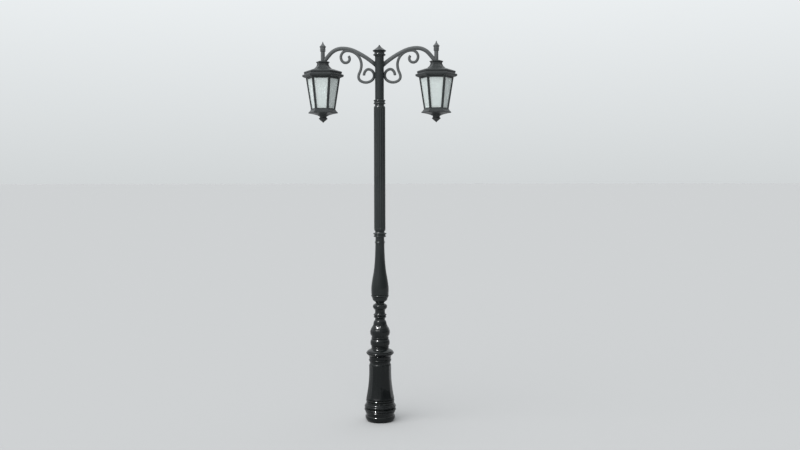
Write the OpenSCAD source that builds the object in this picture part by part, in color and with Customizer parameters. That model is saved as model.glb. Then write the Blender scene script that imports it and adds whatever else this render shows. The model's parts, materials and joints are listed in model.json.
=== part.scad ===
// Twin-arm street lamp post: stacked castings on a steel core tube, two hexagonal lanterns.
// Millimetres, +Z up, origin on the ground at the post's axis. Arms reach along X, service door at +Y.

/* [Post] */
// Height of the fluted shaft casting
shaft_h = 1320; // [1000:10:1600]
// Radius over the lands of the fluted shaft
shaft_r = 60; // [58:1:61]
// Number of flutes round the shaft
shaft_flutes = 16; // [12:1:18]
// Outside radius of the steel core tube that the castings are threaded on
core_r = 30; // [28:0.5:30]
// Radius of the plain neck that carries the arms
neck_r = 46.6; // [44:0.1:47]

/* [Base] */
// Radius of the steel base plate
plate_r = 125; // [120:1:127]
// Thickness of the base plate
plate_t = 16; // [12:1:20]
// Diameter of the circle of anchor holes
anchor_pcd = 190; // [180:1:200]
// Radius of one anchor hole
anchor_r = 9; // [7:0.5:10]
// Radius of the cable entry in the base plate
entry_r = 25; // [20:1:26]

/* [Service door] */
// Angle of the door round the post, from +X
door_az = 77.5; // [60:0.5:120]
// Lowest point of the door opening
door_z = 262; // [255:1:270]
// Height of the door opening
door_h = 283; // [270:1:285]
// Half the width of the door opening
door_hw = 40; // [38:1:41]

/* [Arms] */
// Distance from the post's axis to each lantern's axis
arm_reach = 594; // [590:1:598]
// Radius of the arm tube
arm_r = 21; // [18:0.5:22]
// Wall of the arm tube
arm_wall = 4; // [3:0.5:6]
// Radius of the scroll bar
scroll_r = 14.5; // [12:0.5:15]

/* [Lantern] */
// Corner radius of the glazed body at its top
glass_top_r = 180; // [176:1:184]
// Corner radius of the glazed body at its bottom
glass_low_r = 128; // [124:1:132]
// Height of the glazed body
glass_h = 329; // [320:1:335]
// Corner radius of the eave
eave_r = 219; // [214:1:222]
// Thickness of the frame's metal
frame_t = 7; // [6:0.5:8]
// Thickness of a pane
pane_t = 4; // [3:0.5:5]

/* [Hidden] */
$fn = 64;

// Where each casting of the stack starts
bell_z = 190;
collar_z = bell_z + 422;
cushion_z = collar_z + 156;
bulb_z = cushion_z + 125;
neck_z = bulb_z + 182;
baluster_z = neck_z + 181;
lower_ring_z = baluster_z + 691;
shaft_z = lower_ring_z + 68;
upper_ring_z = shaft_z + shaft_h;
sleeve_z = upper_ring_z + 65;
cap_z = sleeve_z + 438;

fit = 0.5;                      // clearance of a casting on the core tube
run = 0.05;                     // running clearance of a pin
tube_wall = 3.5;
bell_arc = 1426;                // radius of the bell's hollow side
bell_waist = 540;               // height where the bell is narrowest
waist_r = 116.5;
bell_sides = 240;               // fineness of the bell, which the thin door is cut from
flute_r = 90;
flute_deep = 5;
groove_r = 10;                  // shaft flutes
groove_deep = 4;
door_t = 10;
door_gap = 1.5;

// Hinge line of the service door, in the door's own frame where +Y is outwards
hinge_x = -44;
hinge_low = [137.6, 300];       // y and z of the lower hinge
hinge_high = [117.1, 500];
hinge_lean = atan((hinge_low[0] - hinge_high[0]) / (hinge_high[1] - hinge_low[1]));
knuckle_r = 6;
knuckle_h = 12;
pin_r = 3;
lock_pos = [27, 400];           // x and z of the lock
lock_r = 8;

// Equipment inside the bell, in the door's frame
board_y = 34;
rail_z = 385;
breaker_z = 402;
breaker_y = 80;                 // pivot of the toggle

// Lantern levels
glass_z = sleeve_z - 105;       // bottom of the glazed body
eave_z = glass_z + glass_h;
roof_z = eave_z + 44;
head_z = eave_z + 98;
stem_z = head_z + 78;
arm_z = head_z + 38;            // where an arm leaves the neck
arm_cable_z = arm_z;            // cable hole behind the arm's end
cable_r = 9;
tilt = atan((glass_top_r - glass_low_r) * cos(30) / glass_h);
slant = glass_h / cos(tilt);
door_pin_r = 2.2;
pane_pin_x = 4;                 // hinge line in from the corner, on the facet
pane_pin_out = 5.5;             // and out from the facet
hinge_slope = atan((glass_top_r - glass_low_r) / 2 / slant);

// Points of a curve from a to c, pulled towards b
function curve(a, b, c, n = 6) =
    [for (i = [0:n]) let (t = i / n) (1 - t) * (1 - t) * a + 2 * t * (1 - t) * b + t * t * c];

// Points of a half-round bead: r is its outermost radius, z its middle and b half its height
function bead(r, z, b, n = 6) =
    [for (i = [0:n]) let (t = 180 * i / n - 90) [r - b + b * cos(t), z + b * sin(t)]];

// Radius of the bell's hollow side at height z
function bell_side(z) = waist_r + bell_arc - sqrt(bell_arc * bell_arc - pow(z - bell_waist, 2));

// A casting turned from its outline, with a hole of radius bore through it
module turned(outline, bore = core_r + fit) {
    low = outline[0];
    top = outline[len(outline) - 1];
    rotate_extrude() polygon(concat([[bore, low[1]]], outline, [[bore, top[1]]]));
}

// The space inside a casting, from its own outline
module hollow(outline) {
    rotate_extrude() polygon(outline);
}

module ring_of(count, first = 0) {
    for (i = [0:count - 1]) rotate([0, 0, first + i * 360 / count]) children();
}

// Turns to the service door's frame, where the door faces +Y
module at_door() {
    rotate([0, 0, door_az - 90]) children();
}

// The right-hand side as drawn, or its mirror image on the left
module at_side(side) {
    if (side > 0) children();
    else mirror([1, 0, 0]) children();
}

// ---- Base and core -------------------------------------------------------

module base_plate() {
    color("#4b4f50") difference() {
        cylinder(r = plate_r, h = plate_t);
        translate([0, 0, -1]) cylinder(r = entry_r, h = plate_t + 2);
        ring_of(4, 45) translate([anchor_pcd / 2, 0, -1]) cylinder(r = anchor_r, h = plate_t + 2);
    }
}

module base_gussets() {
    color("#4b4f50") ring_of(4) translate([0, 5, plate_t]) rotate([90, 0, 0]) linear_extrude(8)
        polygon([[core_r + fit, 0], [85, 0], [85, 20], [core_r + 12, 100], [core_r + fit, 100]]);
}

module core_tube() {
    color("#6a6e70") translate([0, 0, plate_t]) difference() {
        cylinder(r = core_r, h = cap_z - plate_t);
        translate([0, 0, -1]) cylinder(r = core_r - tube_wall, h = cap_z - plate_t + 2);
        translate([0, 0, -plate_t]) cable_hole(arm_cable_z);
        at_door() translate([0, 0, 285 - plate_t]) rotate([-90, 0, 0]) cylinder(r = cable_r, h = 50);
    }
}

// Hole right across the post for the lantern cables
module cable_hole(z) {
    translate([-100, 0, z]) rotate([0, 90, 0]) cylinder(r = cable_r, h = 200);
}

module foot_ring() {
    color("#25292a") turned(concat(
        [[142, 0]], curve([148, 12], [158, 24], [158, 42]), curve([158, 46], [158, 54], [150, 60]),
        [[149, 68], [151, 77]], curve([154, 86], [157, 90], [158, 97]), [[161, 102]],
        bead(168.6, 121, 12), [[164.6, 140]], bead(167, 156, 11),
        curve([157.6, 174], [150, 180], [149, bell_z], 4)), 130);
}

bell_outline = concat(
    [[148, bell_z], [148, 206]], bead(151.5, 219, 10), [[148.4, 236]],
    [for (i = [0:10]) let (z = 240 + 30 * i) [bell_side(z), z]],
    [[waist_r, 560]], curve([117, 580], [118.5, 595], [112, 605], 4), [[108.8, collar_z]]);

bell_hollow = concat(
    [[0, bell_z - 1], [134, bell_z - 1], [134, 232]],
    [for (i = [0:10]) let (z = 240 + 30 * i) [bell_side(z) - 12, z]], [[101, 580], [80, 596], [0, 596]]);

// One scooped flute that follows the bell's hollow side, with its middle on +X
module bell_flute() {
    low = asin((bell_waist - 224) / bell_arc);
    high = asin((bell_waist - 618) / bell_arc);
    out = flute_r - flute_deep;
    translate([waist_r + bell_arc, 0, bell_waist]) rotate([90, 0, 0])
        rotate([0, 0, 180 + high]) rotate_extrude(angle = low - high, $fn = 1440)
            translate([bell_arc - out, 0]) circle(flute_r, $fn = 240);
}

module bell_solid() {
    difference() {
        turned(bell_outline, 0);
        ring_of(8, door_az) bell_flute();
    }
}

// The part of the bell in front of the door, shrunk by gap on each edge
module door_block(gap, right_gap) {
    translate([gap - door_hw, 60, door_z + gap])
        cube([2 * door_hw - gap - right_gap, 120, door_h - 2 * gap]);
}

// Stands on the door's leaning hinge line, at height z, with +Z along the line
module on_hinge(z) {
    share = (z - hinge_low[1]) / (hinge_high[1] - hinge_low[1]);
    translate([hinge_x, hinge_low[0] + share * (hinge_high[0] - hinge_low[0]), z])
        rotate([hinge_lean, 0, 0]) children();
}

module knuckle(lug) {
    difference() {
        union() {
            cylinder(r = knuckle_r, h = knuckle_h);
            linear_extrude(knuckle_h) polygon(lug);
        }
        translate([0, 0, -1]) cylinder(r = pin_r + run, h = knuckle_h + 2);
    }
}

module bell_base() {
    color("#25292a") difference() {
        union() {
            difference() {
                bell_solid($fn = bell_sides);
                hollow(bell_hollow, $fn = bell_sides);
                translate([0, 0, 590]) cylinder(r = core_r + fit, h = 40);
                at_door() door_block(0, 0);
            }
            at_door() for (z = [hinge_low[1], hinge_high[1]]) on_hinge(z)
                knuckle([[0, 5], [-12, -3], [-16, -22], [2, -20], [2, -9.5], [0, -5]]);
        }
        at_door() for (z = [hinge_low[1], hinge_high[1]])
            on_hinge(z) translate([0, 0, -1]) cylinder(r = pin_r + run, h = knuckle_h + 2);
    }
}

module base_door() {
    color("#25292a") difference() {
        union() {
            intersection() {
                difference() {
                    bell_solid($fn = bell_sides);
                    hollow([for (p = bell_hollow) [max(p[0] + 12 - door_t, 0), p[1]]], $fn = bell_sides);
                }
                at_door() door_block(door_gap, 2.5);
            }
            at_door() for (z = [hinge_low[1], hinge_high[1]]) on_hinge(z) translate([0, 0, knuckle_h + 0.5])
                knuckle([[0, 5.5], [16, -1], [16, -11], [5.8, -11], [5.8, -5], [0, -5]]);
        }
        at_door() translate([lock_pos[0], 60, lock_pos[1]]) rotate([-90, 0, 0])
            cylinder(r = lock_r + run, h = 80);
    }
}

module door_hinge_pins() {
    color("#8c9092") at_door() for (z = [hinge_low[1], hinge_high[1]]) on_hinge(z) {
        translate([0, 0, -2]) cylinder(r = pin_r, h = 2 * knuckle_h + 4.5);
        translate([0, 0, -4]) cylinder(r = pin_r + 1.5, h = 3.9);
    }
}

module door_lock() {
    color("#9a9c98") at_door() translate([lock_pos[0], 0, lock_pos[1]]) {
        difference() {
            translate([0, 95, 0]) rotate([-90, 0, 0]) cylinder(r = lock_r, h = 26);
            translate([0, 112, 0]) rotate([-90, 0, 0]) cylinder(r = 5, h = 20);
        }
        translate([0, 111, 0]) rotate([-90, 30, 0]) cylinder(r = 3.6, h = 8, $fn = 3);
        translate([-5, 94, -6]) cube([10, 3, 24]);
    }
}

// ---- Equipment inside the bell -------------------------------------------

module equipment_board() {
    color("#8a8d86") at_door() difference() {
        translate([-42, board_y, 300]) cube([84, 6, 200]);
        for (z = [340, 470]) translate([0, board_y - 1, z]) rotate([-90, 0, 0]) cylinder(r = 3, h = 8);
    }
}

module board_clamps() {
    color("#8c9092") at_door() for (z = [330, 460]) translate([0, 0, z]) difference() {
        union() {
            cylinder(r = board_y - 0.5, h = 20);
            translate([-20, 0, 0]) cube([40, board_y, 20]);
        }
        translate([0, 0, -1]) cylinder(r = core_r, h = 22);
        translate([0, -40, 10]) cube([4, 40, 30], center = true);
    }
}

module din_rail() {
    color("#b9bcbc") at_door() translate([-38, board_y + 6, rail_z]) rotate([90, 0, 90])
        linear_extrude(76) polygon([[0, 5], [1.5, 5], [1.5, 30], [0, 30], [0, 31], [6, 31], [6, 35], [7.5, 35],
            [7.5, 29.5], [2.5, 29.5], [2.5, 5.5], [7.5, 5.5], [7.5, 0], [6, 0], [6, 4], [0, 4]]);
}

module breaker_body() {
    color("#d9dad5") at_door() difference() {
        union() {
            translate([-27, board_y + 13.5, breaker_z - 35]) cube([36, 24, 70]);
            translate([-27, board_y + 37, breaker_z - 22]) cube([36, 13, 44]);
        }
        translate([-15.5, breaker_y, breaker_z]) rotate([0, 90, 0]) cylinder(r = lock_r + 0.4, h = 13);
        for (x = [-18, 0]) for (z = [-28, 28])
            translate([x, board_y + 30, breaker_z + z]) rotate([-90, 0, 0]) cylinder(r = 3, h = 10);
    }
}

module breaker_toggle() {
    color("#2b2c2e") at_door() translate([-15, breaker_y, breaker_z]) {
        rotate([0, 90, 0]) cylinder(r = lock_r, h = 12);
        rotate([35, 0, 0]) translate([1, 0, -2]) cube([10, 18, 4]);
    }
}

module terminal_block() {
    color("#c9c7b6") at_door() difference() {
        translate([-30, board_y + 6, 312]) cube([60, 20, 24]);
        for (i = [0:3]) translate([-21 + 14 * i, board_y + 16, 311]) cylinder(r = 3.5, h = 26);
    }
}

module earth_stud() {
    color("#b08d45") at_door() translate([0, 104, plate_t]) {
        cylinder(r = 4, h = 34);
        cylinder(r = 8, h = 7, $fn = 6);
        translate([0, 0, 14]) cylinder(r = 8, h = 7, $fn = 6);
    }
}

// ---- Castings up the post ------------------------------------------------

module bell_collar() {
    z = collar_z;
    color("#25292a") difference() {
        turned(concat([[108.8, z]], curve([110, z + 10], [114, z + 22], [115, z + 26], 3),
            bead(120, z + 36, 8), [[115, z + 50], [115.5, z + 66]],
            curve([117.7, z + 78], [130, z + 90], [141, z + 100], 4), bead(147, z + 112, 8),
            curve([135.5, z + 131], [122, z + 142], [98.6, z + 152], 5), [[96, cushion_z]]));
        hollow([[30, z + 12], [96, z + 12], [102, z + 40], [102, z + 80], [118, z + 104], [118, z + 114],
            [84, z + 140], [30, z + 140]]);
    }
}

module cushion_ring() {
    z = cushion_z;
    color("#25292a") difference() {
        turned(concat([[93, z]], bead(94.5, z + 20, 4), [[92.5, z + 28]],
            curve([95, z + 35], [103, z + 40], [103.3, z + 62], 5),
            curve([103.3, z + 68], [103, z + 88], [93, z + 98], 5), [[91, z + 105]],
            bead(93.5, z + 114, 6), [[88.6, bulb_z]]));
        hollow([[30, z + 12], [80, z + 12], [90, z + 50], [90, z + 74], [76, z + 112], [30, z + 112]]);
    }
}

// Narrow groove down the bulb between two lobes
module bulb_groove() {
    translate([44, 0, bulb_z + 52]) rotate([90, 0, 0]) rotate([0, 0, -42]) rotate_extrude(angle = 92)
        translate([63, 0]) circle(5);
}

module gadroon_bulb() {
    z = bulb_z;
    color("#25292a") difference() {
        turned(concat([[88.6, z]], curve([90, z + 10], [102, z + 20], [105, z + 45], 5),
            curve([105.2, z + 52], [105, z + 68], [97, z + 82], 5),
            curve([91.4, z + 97], [78, z + 116], [73, z + 133], 5),
            curve([70, z + 146], [66, z + 166], [60, z + 173], 4), [[53, neck_z]]));
        hollow([[30, z + 14], [78, z + 14], [92, z + 46], [82, z + 82], [56, z + 120], [56, z + 150],
            [44, z + 168], [30, z + 168]]);
        ring_of(8, 12) bulb_groove();
    }
}

module lower_neck() {
    z = neck_z;
    color("#25292a") turned(concat([[53, z], [53, z + 16]], bead(67, z + 32, 9), [[61, z + 43.5]],
        bead(68.7, z + 54, 9), curve([58, z + 65], [47, z + 85], [56.5, z + 107], 6),
        curve([63, z + 116], [76, z + 124], [76, z + 144], 5), curve([76, z + 148], [75, z + 158], [60, z + 168], 4),
        [[44, z + 176], [44, baluster_z]]));
}

module baluster() {
    z = baluster_z;
    color("#25292a") difference() {
        baluster_body(z);
        hollow([[30, z + 40], [60, z + 60], [80, z + 100], [80, z + 160], [66, z + 250], [48, z + 380],
            [38, z + 560], [30, z + 600]]);
    }
}

module baluster_body(z) {
    turned(concat([[44, z]], curve([52, z + 10], [70, z + 20], [77, z + 32], 4),
        curve([80, z + 43], [83, z + 56], [88, z + 64], 3), bead(94.2, z + 75, 9),
        curve([90.5, z + 88], [94.5, z + 138], [92, z + 165], 5),
        curve([88, z + 195], [79, z + 250], [66.7, z + 330], 6),
        curve([60.3, z + 404], [52, z + 500], [48.2, z + 616], 6), curve([48.2, z + 622], [48.5, z + 630], [50, z + 633], 2),
        bead(55, z + 643, 8), [[48, z + 656], [46.5, lower_ring_z]]));
}

module lower_ring() {
    z = lower_ring_z;
    color("#25292a") turned(concat([[46.5, z], [48, z + 6]], bead(66.5, z + 14, 7), [[59, z + 28]],
        bead(70.5, z + 42, 7), curve([54, z + 52], [48, z + 60], [50, shaft_z], 4)));
}

module fluted_shaft() {
    z = shaft_z;
    color("#2c3031") difference() {
        turned(concat([[50, z]], curve([56, z + 5], [shaft_r, z + 10], [shaft_r, z + 20], 5),
            curve([shaft_r, upper_ring_z - 26], [shaft_r, upper_ring_z - 14], [50, upper_ring_z - 4], 6),
            [[49, upper_ring_z]]));
        translate([0, 0, z + 30]) cylinder(r = shaft_r - groove_deep - 10, h = shaft_h - 60);
        ring_of(shaft_flutes, 5.85) translate([shaft_r + groove_r - groove_deep, 0, z + 34]) {
            cylinder(r = groove_r, h = shaft_h - 68);
            sphere(groove_r);
            translate([0, 0, shaft_h - 68]) sphere(groove_r);
        }
    }
}

module upper_ring() {
    z = upper_ring_z;
    color("#2c3031") turned(concat([[49, z], [50, z + 8]], bead(63, z + 18, 7), [[56.5, z + 33]],
        bead(63, z + 48, 7), [[neck_r, z + 58], [neck_r, sleeve_z]]));
}

screw_zs = [40, 400];           // heights of the sleeve's set screws

module arm_sleeve() {
    color("#303435") translate([0, 0, sleeve_z]) difference() {
        cylinder(r = neck_r, h = cap_z - sleeve_z);
        translate([0, 0, -1]) cylinder(r = core_r + fit, h = cap_z - sleeve_z + 2);
        for (h = screw_zs) translate([0, core_r - 2, h]) rotate([-90, 0, 0]) cylinder(r = 5, h = 30);
        cable_hole(arm_cable_z - sleeve_z);
    }
}

module sleeve_screws() {
    color("#7c7f80") translate([0, 0, sleeve_z]) for (h = screw_zs)
        translate([0, core_r, h]) rotate([-90, 0, 0]) difference() {
            cylinder(r = 5, h = neck_r - core_r + 1);
            translate([0, 0, neck_r - core_r - 4]) cylinder(r = 2.8, h = 6, $fn = 6);
        }
}

module cap_collar() {
    z = cap_z;
    color("#303435") turned(concat([[neck_r, z]], curve([48, z + 4], [53, z + 8], [58, z + 12], 3),
        bead(65.8, z + 20, 7), curve([55, z + 30], [53, z + 34], [53, z + 42], 3), [[53, z + 46]]), 8.5);
}

module post_cap() {
    z = cap_z + 46;
    color("#303435") difference() {
        turned(concat([[53, z]], curve([56, z + 4], [62, z + 6], [66, z + 9], 3), bead(70.3, z + 17, 6),
            curve([60, z + 26], [42, z + 38], [22, z + 54], 6), curve([14, z + 62], [9, z + 68], [4, z + 77], 3)), 0);
        translate([0, 0, z - 1]) cylinder(r = 8, h = 42);
    }
}

module tie_stud() {
    color("#8c9092") {
        translate([0, 0, cap_z - 30]) cylinder(r = core_r - tube_wall, h = 20);
        translate([0, 0, cap_z - 12]) cylinder(r = 8, h = 92);
    }
}

// ---- Arms and scrolls ----------------------------------------------------

// Centreline of a bar in the XZ plane as [x, z, heading]. Each bend is [radius, turn] with left
// turns positive, and a radius of 0 is a straight of that length.
function centreline(x, z, heading, bends, i = 0) = i == len(bends) ? [[x, z, heading]] :
    let (bend = bends[i][0], turn = bends[i][1], steps = bend == 0 ? 1 : ceil(abs(turn) / bend_step))
    concat([for (j = [0:steps - 1]) bar_point(x, z, heading, bend, turn, j / steps)],
        let (end = bar_point(x, z, heading, bend, turn, 1)) centreline(end[0], end[1], end[2], bends, i + 1));

// The point that lies a share of the way round one bend
function bar_point(x, z, heading, bend, turn, share) =
    bend == 0 ? [x + turn * share * cos(heading), z + turn * share * sin(heading), heading] :
    let (r = sign(turn) * bend, now = heading + turn * share)
    [x - r * sin(heading) + r * sin(now), z + r * cos(heading) - r * cos(now), now];

// A round bar swept along a centreline, with the given number of sides
module swept_bar(r, path, sides) {
    rings = len(path);
    points = [for (p = path) for (j = [0:sides - 1]) let (a = 360 * j / sides)
        [p[0] - r * cos(a) * sin(p[2]), r * sin(a), p[1] + r * cos(a) * cos(p[2])]];
    walls = [for (i = [0:rings - 2]) for (j = [0:sides - 1]) let (k = (j + 1) % sides)
        [i * sides + j, i * sides + k, (i + 1) * sides + k, (i + 1) * sides + j]];
    ends = [[for (j = [sides - 1:-1:0]) j], [for (j = [0:sides - 1]) (rings - 1) * sides + j]];
    polyhedron(points, concat(walls, ends));
}

bend_step = 11;                 // turn between two rings of a bent bar
arm_bends = [[900, -17], [317, -25], [170, -50], [0, 92]];
arm_path = centreline(neck_r - 12, arm_z - 10, 42, arm_bends);
arm_bore_path = centreline(neck_r - 12, arm_z - 10, 42, [for (i = [0:2]) arm_bends[i]]);
scroll_bends = [[39, 102], [45, 81], [66, 129], [148, 93], [182, 25], [105, -21], [51, -64], [101, -69],
    [65, -130], [37, -54], [67, -50]];
scroll_path = centreline(322.6, arm_z + 85, -133, scroll_bends);

module arm(side) {
    color("#303435") at_side(side) difference() {
        swept_bar(arm_r, arm_path, 20);
        swept_bar(arm_r - arm_wall, arm_bore_path, 16);
        translate([0, 0, arm_z - 100]) cylinder(r = neck_r, h = 220);
        translate([arm_reach, 0, arm_z - 60]) cylinder(r = stem_r, h = 200);
        translate([arm_reach, -50, arm_z - 60]) cube([100, 100, 200]);
        translate([arm_reach - 100, -50, stem_z - 50]) cube([200, 100, 50.2]);
        translate([arm_reach - 60, 0, stem_z + 24]) rotate([0, 90, 0]) cylinder(r = cable_r, h = 60);
    }
}

module scroll(side) {
    color("#303435") at_side(side) swept_bar(scroll_r, scroll_path, 12);
}

// ---- Lanterns ------------------------------------------------------------

stem_r = 21.5;
nipple_r = 14.5;

module at_lantern(side) {
    at_side(side) translate([arm_reach, 0, 0]) children();
}

// Hexagonal shape from a list of [corner radius, height], widest faces towards Y
module hex_stack(levels) {
    for (i = [0:len(levels) - 2]) translate([0, 0, levels[i][1]])
        cylinder(r1 = levels[i][0], r2 = levels[i + 1][0], h = levels[i + 1][1] - levels[i][1], $fn = 6);
}

// Lies on facet k of the glazed body: X along the facet, Y up it and Z outwards. Facet 0 faces +Y.
module on_facet(k) {
    rotate([0, 0, 60 * k]) translate([0, glass_low_r * cos(30), glass_z])
        rotate([-90, 0, 0]) rotate([0, 0, 180]) rotate([tilt, 0, 0]) children();
}

// Outline of a facet between two heights up the slant, with its sides set in by left and right
module facet_shape(low, high, left, right) {
    side_low = glass_low_r / 2 + low * tan(hinge_slope);
    side_high = glass_low_r / 2 + high * tan(hinge_slope);
    polygon([[left - side_low, low], [side_low - right, low], [side_high - right, high], [left - side_high, high]]);
}

module stem(side) {
    color("#303435") at_lantern(side) translate([0, 0, stem_z]) difference() {
        rotate_extrude() polygon([[cable_r, -110], [nipple_r, -110], [nipple_r, 0], [stem_r, 0],
            [stem_r, 93], [cable_r, 93]]);
        translate([-30, 0, 24]) rotate([0, 90, 0]) cylinder(r = cable_r, h = 30);
    }
}

module finial(side) {
    z = stem_z + 93;
    color("#303435") at_lantern(side) turned(concat([[stem_r, z]], bead(29, z + 8, 4.5), [[26, z + 15]],
        bead(30, z + 22, 5), [[27, z + 29]], curve([28, z + 42], [30, z + 46], [32, z + 49], 3),
        bead(34, z + 54, 4), curve([27, z + 63], [15, z + 76], [9, z + 86], 5),
        curve([7, z + 92], [5, z + 102], [1.5, z + 107], 4)), 0);
}

module lantern_head(side) {
    z = head_z;
    color("#303435") at_lantern(side) difference() {
        hex_stack([[91, z], [86, z + 8], [72, z + 24], [63, z + 40], [61.5, z + 47], [65, z + 56], [71, z + 60],
            [71, z + 67], [58, z + 74], [26, z + 78]]);
        translate([0, 0, z - 1]) cylinder(r = 52, h = 52);
        translate([0, 0, z]) cylinder(r = nipple_r + 0.1, h = 80);
    }
}

module lantern_roof(side) {
    color("#303435") at_lantern(side) difference() {
        hex_stack([[197, eave_z + 44], [201, eave_z + 50], [201, eave_z + 60], [197, eave_z + 64], [91, head_z]]);
        hex_stack([[186, eave_z + 43], [186, eave_z + 57], [70, head_z - 7], [70, head_z + 1]]);
    }
}

module lantern_frame(side) {
    low_rim = 14;
    color("#303435") at_lantern(side) difference() {
        union() {
            hex_stack([[glass_low_r + 1, glass_z - 12], [glass_low_r + 3, glass_z - 6], [glass_low_r, glass_z],
                [glass_top_r, eave_z]]);
            hex_stack([[glass_top_r + 2, eave_z - 4], [200, eave_z + 8], [eave_r, eave_z + 20], [eave_r, eave_z + 29],
                [197, eave_z + 38], [197, roof_z]]);
        }
        hex_stack([[glass_low_r - 14, glass_z - 13], [glass_low_r - 14, glass_z + 1]]);
        hex_stack([[glass_low_r - 8.1, glass_z], [glass_top_r - 8.1, eave_z], [186, eave_z + 8], [186, roof_z + 1]]);
        for (k = [1:5]) on_facet(k) translate([0, 0, -30]) linear_extrude(60)
            facet_shape(low_rim, slant - 16, 13, 13);
        on_facet(0) translate([0, 0, -30]) linear_extrude(60) facet_shape(10, slant - 10, 12, 7);
        on_facet(0) latch_place() translate([0, 0, -20]) cylinder(r = 2.5 + run, h = 30);
    }
    color("#303435") at_lantern(side) on_facet(0) for (y = pane_hinge_ys) pane_hinge(y)
        pane_knuckle([[0, 4.5], [4, 0], [4, -pane_pin_out - 2], [-2, -pane_pin_out - 2], [-4.5, -2]]);
}

pane_hinge_ys = [60, 250];      // heights up the slant of the pane door's hinges
pane_knuckle_h = 9;

// Stands on the pane door's hinge line with +Z up the line and +Y outwards
module pane_hinge(y) {
    side = glass_low_r / 2 + y * tan(hinge_slope);
    translate([side - pane_pin_x, y, pane_pin_out]) rotate([0, 0, -hinge_slope]) rotate([-90, 0, 0])
        rotate([0, 0, 180]) children();
}

module pane_knuckle(lug) {
    difference() {
        union() {
            cylinder(r = 4.5, h = pane_knuckle_h);
            linear_extrude(pane_knuckle_h) mirror([1, 0, 0]) polygon(lug);
        }
        translate([0, 0, -1]) cylinder(r = door_pin_r + run, h = pane_knuckle_h + 2);
    }
}

module pane_door(side) {
    color("#303435") at_lantern(side) on_facet(0) {
        translate([0, 0, -frame_t]) linear_extrude(frame_t) difference() {
            facet_shape(12, slant - 13, 13.5, 8.5);
            facet_shape(22, slant - 23, 24, 19);
        }
        for (y = pane_hinge_ys) pane_hinge(y) translate([0, 0, pane_knuckle_h + 0.4])
            pane_knuckle([[0, 4.5], [-13, -3], [-13, -pane_pin_out - 2], [-5.6, -pane_pin_out - 2], [-4.4, -2]]);
    }
}

module door_pane(side) {
    color([0.86, 0.9, 0.88, 0.6]) at_lantern(side) on_facet(0) translate([0, 0, -frame_t - pane_t])
        linear_extrude(pane_t) facet_shape(16, slant - 17, 17.5, 12.5);
}

module pane_hinge_pins() {
    color("#8c9092") for (side = [-1, 1]) at_lantern(side) on_facet(0) for (y = pane_hinge_ys)
        pane_hinge(y) translate([0, 0, -1.5]) cylinder(r = door_pin_r, h = 2 * pane_knuckle_h + 3.4);
}

module panes(side) {
    color([0.86, 0.9, 0.88, 0.6]) at_lantern(side) for (k = [1:5]) on_facet(k)
        translate([0, 0, -frame_t - pane_t - 0.1]) linear_extrude(pane_t) facet_shape(8, slant - 10, 8.5, 8.5);
}

latch_y = 165;                  // height up the slant of the pane door's latch

module latch_place() {
    side = glass_low_r / 2 + latch_y * tan(hinge_slope);
    translate([6 - side, latch_y, 0]) rotate([0, 0, hinge_slope]) children();
}

module pane_latch(side) {
    color("#8c9092") at_lantern(side) on_facet(0) latch_place() {
        translate([0, 0, -frame_t - 1]) cylinder(r = 2.5, h = frame_t + 6);
        translate([-4, -6, 1]) cube([8, 30, 2.5]);
        translate([0, 0, 1]) cylinder(r = 5, h = 5);
    }
}

module lantern_tray(side) {
    z = glass_z - 12;
    color("#303435") at_lantern(side) difference() {
        hex_stack([[66, z - 50], [80, z - 45], [118, z - 36], [154, z - 29], [157, z - 26], [157, z - 19],
            [150, z - 15], [134, z - 6], [129, z]]);
        hex_stack([[60, z - 40], [112, z - 28], [112, z + 1]]);
        translate([0, 0, z - 51]) cylinder(r = 6.1, h = 12);
    }
}

module pendant(side) {
    z = glass_z - 62;
    color("#303435") at_lantern(side) {
        turned(concat([[2, z - 79]], curve([6, z - 74], [22, z - 62], [36, z - 50], 5), bead(45.7, z - 36, 9),
            curve([37, z - 25], [36, z - 16], [44, z - 8], 5), [[57, z - 4], [57, z]]), 0);
        translate([0, 0, z - 1]) cylinder(r = 6, h = 18);
    }
}

module lamp_holder(side) {
    z = stem_z - 110;
    color("#e4e2da") at_lantern(side) difference() {
        turned(concat([[20, z - 58], [22, z - 52], [22, z - 8]], curve([22, z], [25, z + 4], [25, z + 12], 3),
            [[25, z + 24], [20, z + 26]]), 0);
        translate([0, 0, z - 1]) cylinder(r = nipple_r, h = 40);
        translate([0, 0, z - 59]) cylinder(r = 14.5, h = 46);
    }
}

module lamp(side) {
    z = stem_z - 123;
    color("#f2efe4") at_lantern(side) {
        translate([0, 0, z - 46]) cylinder(r = 14, h = 44);
        turned(concat([[0.5, z - 110]], curve([18, z - 109], [30, z - 98], [30, z - 80], 6),
            curve([30, z - 68], [18, z - 60], [16, z - 46], 6)), 0);
    }
}

base_plate();
base_gussets();
core_tube();
foot_ring();
bell_base();
bell_collar();
cushion_ring();
gadroon_bulb();
lower_neck();
baluster();
lower_ring();
fluted_shaft();
upper_ring();
arm_sleeve();
sleeve_screws();
cap_collar();
post_cap();
tie_stud();
base_door();
door_hinge_pins();
door_lock();
equipment_board();
board_clamps();
din_rail();
breaker_body();
breaker_toggle();
terminal_block();
earth_stud();
arm(-1);  // arm_left
arm(1);  // arm_right
scroll(-1);  // scroll_left
scroll(1);  // scroll_right
stem(-1);  // stem_left
stem(1);  // stem_right
finial(-1);  // finial_left
finial(1);  // finial_right
lantern_head(-1);  // lantern_head_left
lantern_head(1);  // lantern_head_right
lantern_roof(-1);  // lantern_roof_left
lantern_roof(1);  // lantern_roof_right
lantern_frame(-1);  // lantern_frame_left
lantern_frame(1);  // lantern_frame_right
panes(-1);  // panes_left
panes(1);  // panes_right
pane_door(-1);  // pane_door_left
pane_door(1);  // pane_door_right
door_pane(-1);  // door_pane_left
door_pane(1);  // door_pane_right
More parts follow.
